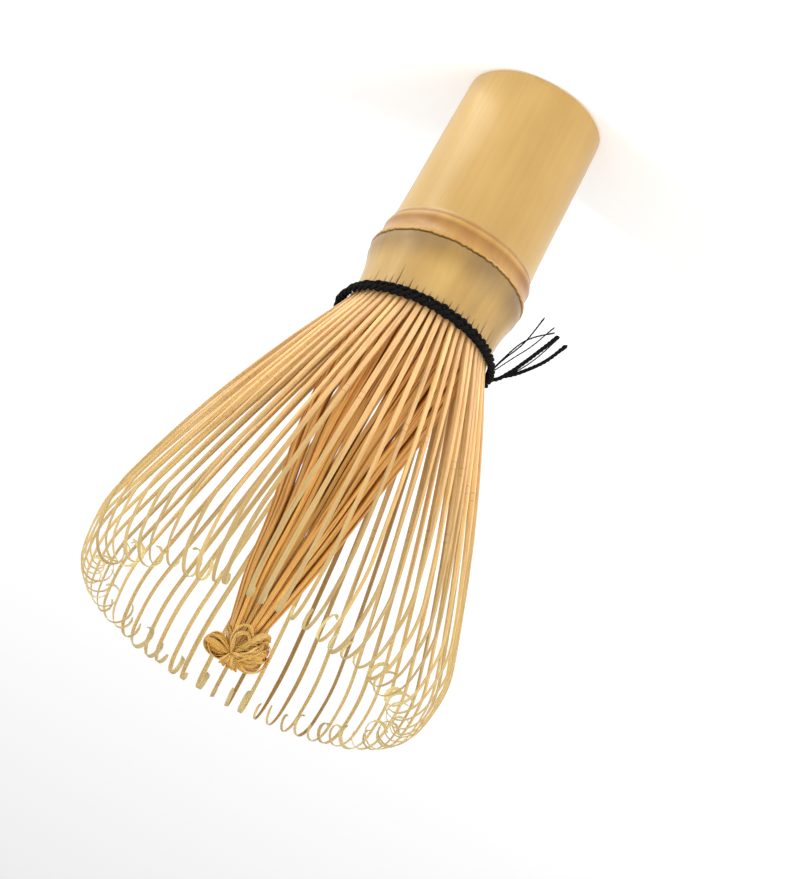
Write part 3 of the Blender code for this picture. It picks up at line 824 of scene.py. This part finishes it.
# %% Make the loose ends
# Each end's half thickness and the points that it passes through, in millimetres.
LOOSE_ENDS = {
    "thread_end_long": (0.33, ((-13.9, -0.2, 48.0), (-14.9, 0, 47.1), (-16.1, 0, 45.2), (-17.8, 0, 41.6),
                               (-20.6, 0, 34.9))),
    "thread_end_short": (0.3, ((-15.7, 0, 46.1), (-17.0, 0, 44.9), (-18.1, 0, 43.6), (-20.0, 0, 41.0),
                               (-22.5, 0, 35.7))),
    "thread_fibre_1": (0.12, ((-13.4, -0.5, 46.4), (-14.2, -0.5, 43.6), (-16.0, -0.5, 38.9), (-19.8, 0, 34.6))),
    "thread_fibre_2": (0.12, ((-13.3, 0.9, 46.4), (-14.3, 0.9, 43.2), (-16.0, 0.8, 38.9), (-17.2, 0.8, 32.6))),
    "thread_fibre_3": (0.1, ((-13.8, -1.4, 46.6), (-15.4, -1.4, 43.4), (-17.2, -1.2, 39.8), (-19.3, -0.9, 34.2))),
    "thread_fibre_4": (0.1, ((-14.6, 1.0, 47.2), (-17.2, 1.0, 43.6), (-18.9, 1.0, 40.2), (-20.9, 1.0, 34.3))),
}

def make_loose_end(name, half, route):
    """A plied strand along a smooth line through the route's points, a little thicker where it was cut."""
    route = np.array(route)
    places = np.concatenate([[0], np.cumsum(np.linalg.norm(np.diff(route, axis=0), axis=1))])
    s = np.linspace(0, places[-1], 60)
    points = np.stack([through(np.stack([places, route[:, k]], 1), s) for k in range(3)], -1)[None]
    points[..., 1] += 0.12 * np.sin(s * 0.9 + places[-1]) * (s / places[-1])
    direction = unit(np.gradient(points, axis=1))
    out = unit(np.cross(direction, [0.0, 1.0, 0.0]))
    across = np.cross(out, direction)
    grow = half * (1 + 0.25 * np.clip((s - places[-1] + 2.0) / 2.0, 0, 1)) * (1 + 0.06 * np.sin(s * 7))
    grow = grow[None] * np.clip((places[-1] - s) / 0.3, 0.4, 1)
    return add_strips(name + "_strand", points, across, out, grow, grow, plied(s[None] * 2.6), black_thread,
                      "handle", [name], sharp=80)


for end_name, (end_half, end_route) in LOOSE_ENDS.items():
    make_loose_end(end_name, end_half, end_route)
print("loose ends made:", len(LOOSE_ENDS))

# %% [markdown]
# ## Floor and light
# A pale floor and soft light from the side and above, as in a small studio. Softboxes are area lights, because
# a large source gives the soft shadows of a thin thing like a tine. One narrow strip lies on the table beside
# the handle, facing up, so that the skin's wax reflects it as the long soft gloss that a culm shows.

# %% Lay the floor
def make_floor():
    """A sheet of white paper under the whisk, glowing a little so that it stays white to its far edge."""
    mesh = bpy.data.meshes.new("floor")
    half = 4.0
    mesh.from_pydata([(-half, -half, 0), (half, -half, 0), (half, half, 0), (-half, half, 0)], [], [(0, 1, 2, 3)])
    material, shader = new_material("studio_paper_white", Roughness=0.9, Specular_IOR_Level=0.1)
    shader.inputs["Base Color"].default_value = linear("FCFCFC")
    shader.inputs["Emission Color"].default_value = linear("FFFFFF")
    shader.inputs["Emission Strength"].default_value = 0.12
    mesh.materials.append(material)
    floor = bpy.data.objects.new("floor", mesh)
    bpy.context.scene.collection.objects.link(floor)


make_floor()
print("floor laid")

# %% Light the whisk
# Each light's name, place, width and height in metres, power in watts, and the point that it faces.
LIGHTS = (("strip_softbox", (0.55, -0.2, 0.25), 0.1, 0.4, 1.7, (0, 0, 0.06)),
          ("table_strip", (0.088, -0.013, 0.002), 0.146, 0.018, 0.012, (0.088, -0.013, 1.0)),
          ("fill_softbox", (-0.55, -0.42, 0.35), 0.5, 0.5, 3.6, (0, 0, 0.06)),
          ("top_softbox", (0.3, -0.3, 1.3), 1.2, 1.2, 3.6, (0, 0, 0.06)))

def add_light(name, place, width, height, watts, aim):
    """A rectangular light that faces the point it aims at, and that the camera doesn't see."""
    light = bpy.data.objects.new(name, bpy.data.lights.new(name, "AREA"))
    light.data.shape = "RECTANGLE"
    light.data.size, light.data.size_y = width, height
    light.data.energy = watts
    light.visible_camera = False
    light.location = place
    light.rotation_euler = (Vector(aim) - Vector(place)).to_track_quat("-Z", "Y").to_euler()
    bpy.context.scene.collection.objects.link(light)


def make_light():
    """An even white surrounding, three softboxes and the strip on the table."""
    world = bpy.data.worlds.new("studio")
    bpy.context.scene.world = world
    world.use_nodes = True
    world.node_tree.nodes["Background"].inputs["Color"].default_value = (1, 1, 1, 1)
    world.node_tree.nodes["Background"].inputs["Strength"].default_value = 0.62
    for light in LIGHTS:
        add_light(*light)
    bpy.context.scene.view_settings.view_transform = "Standard"


make_light()
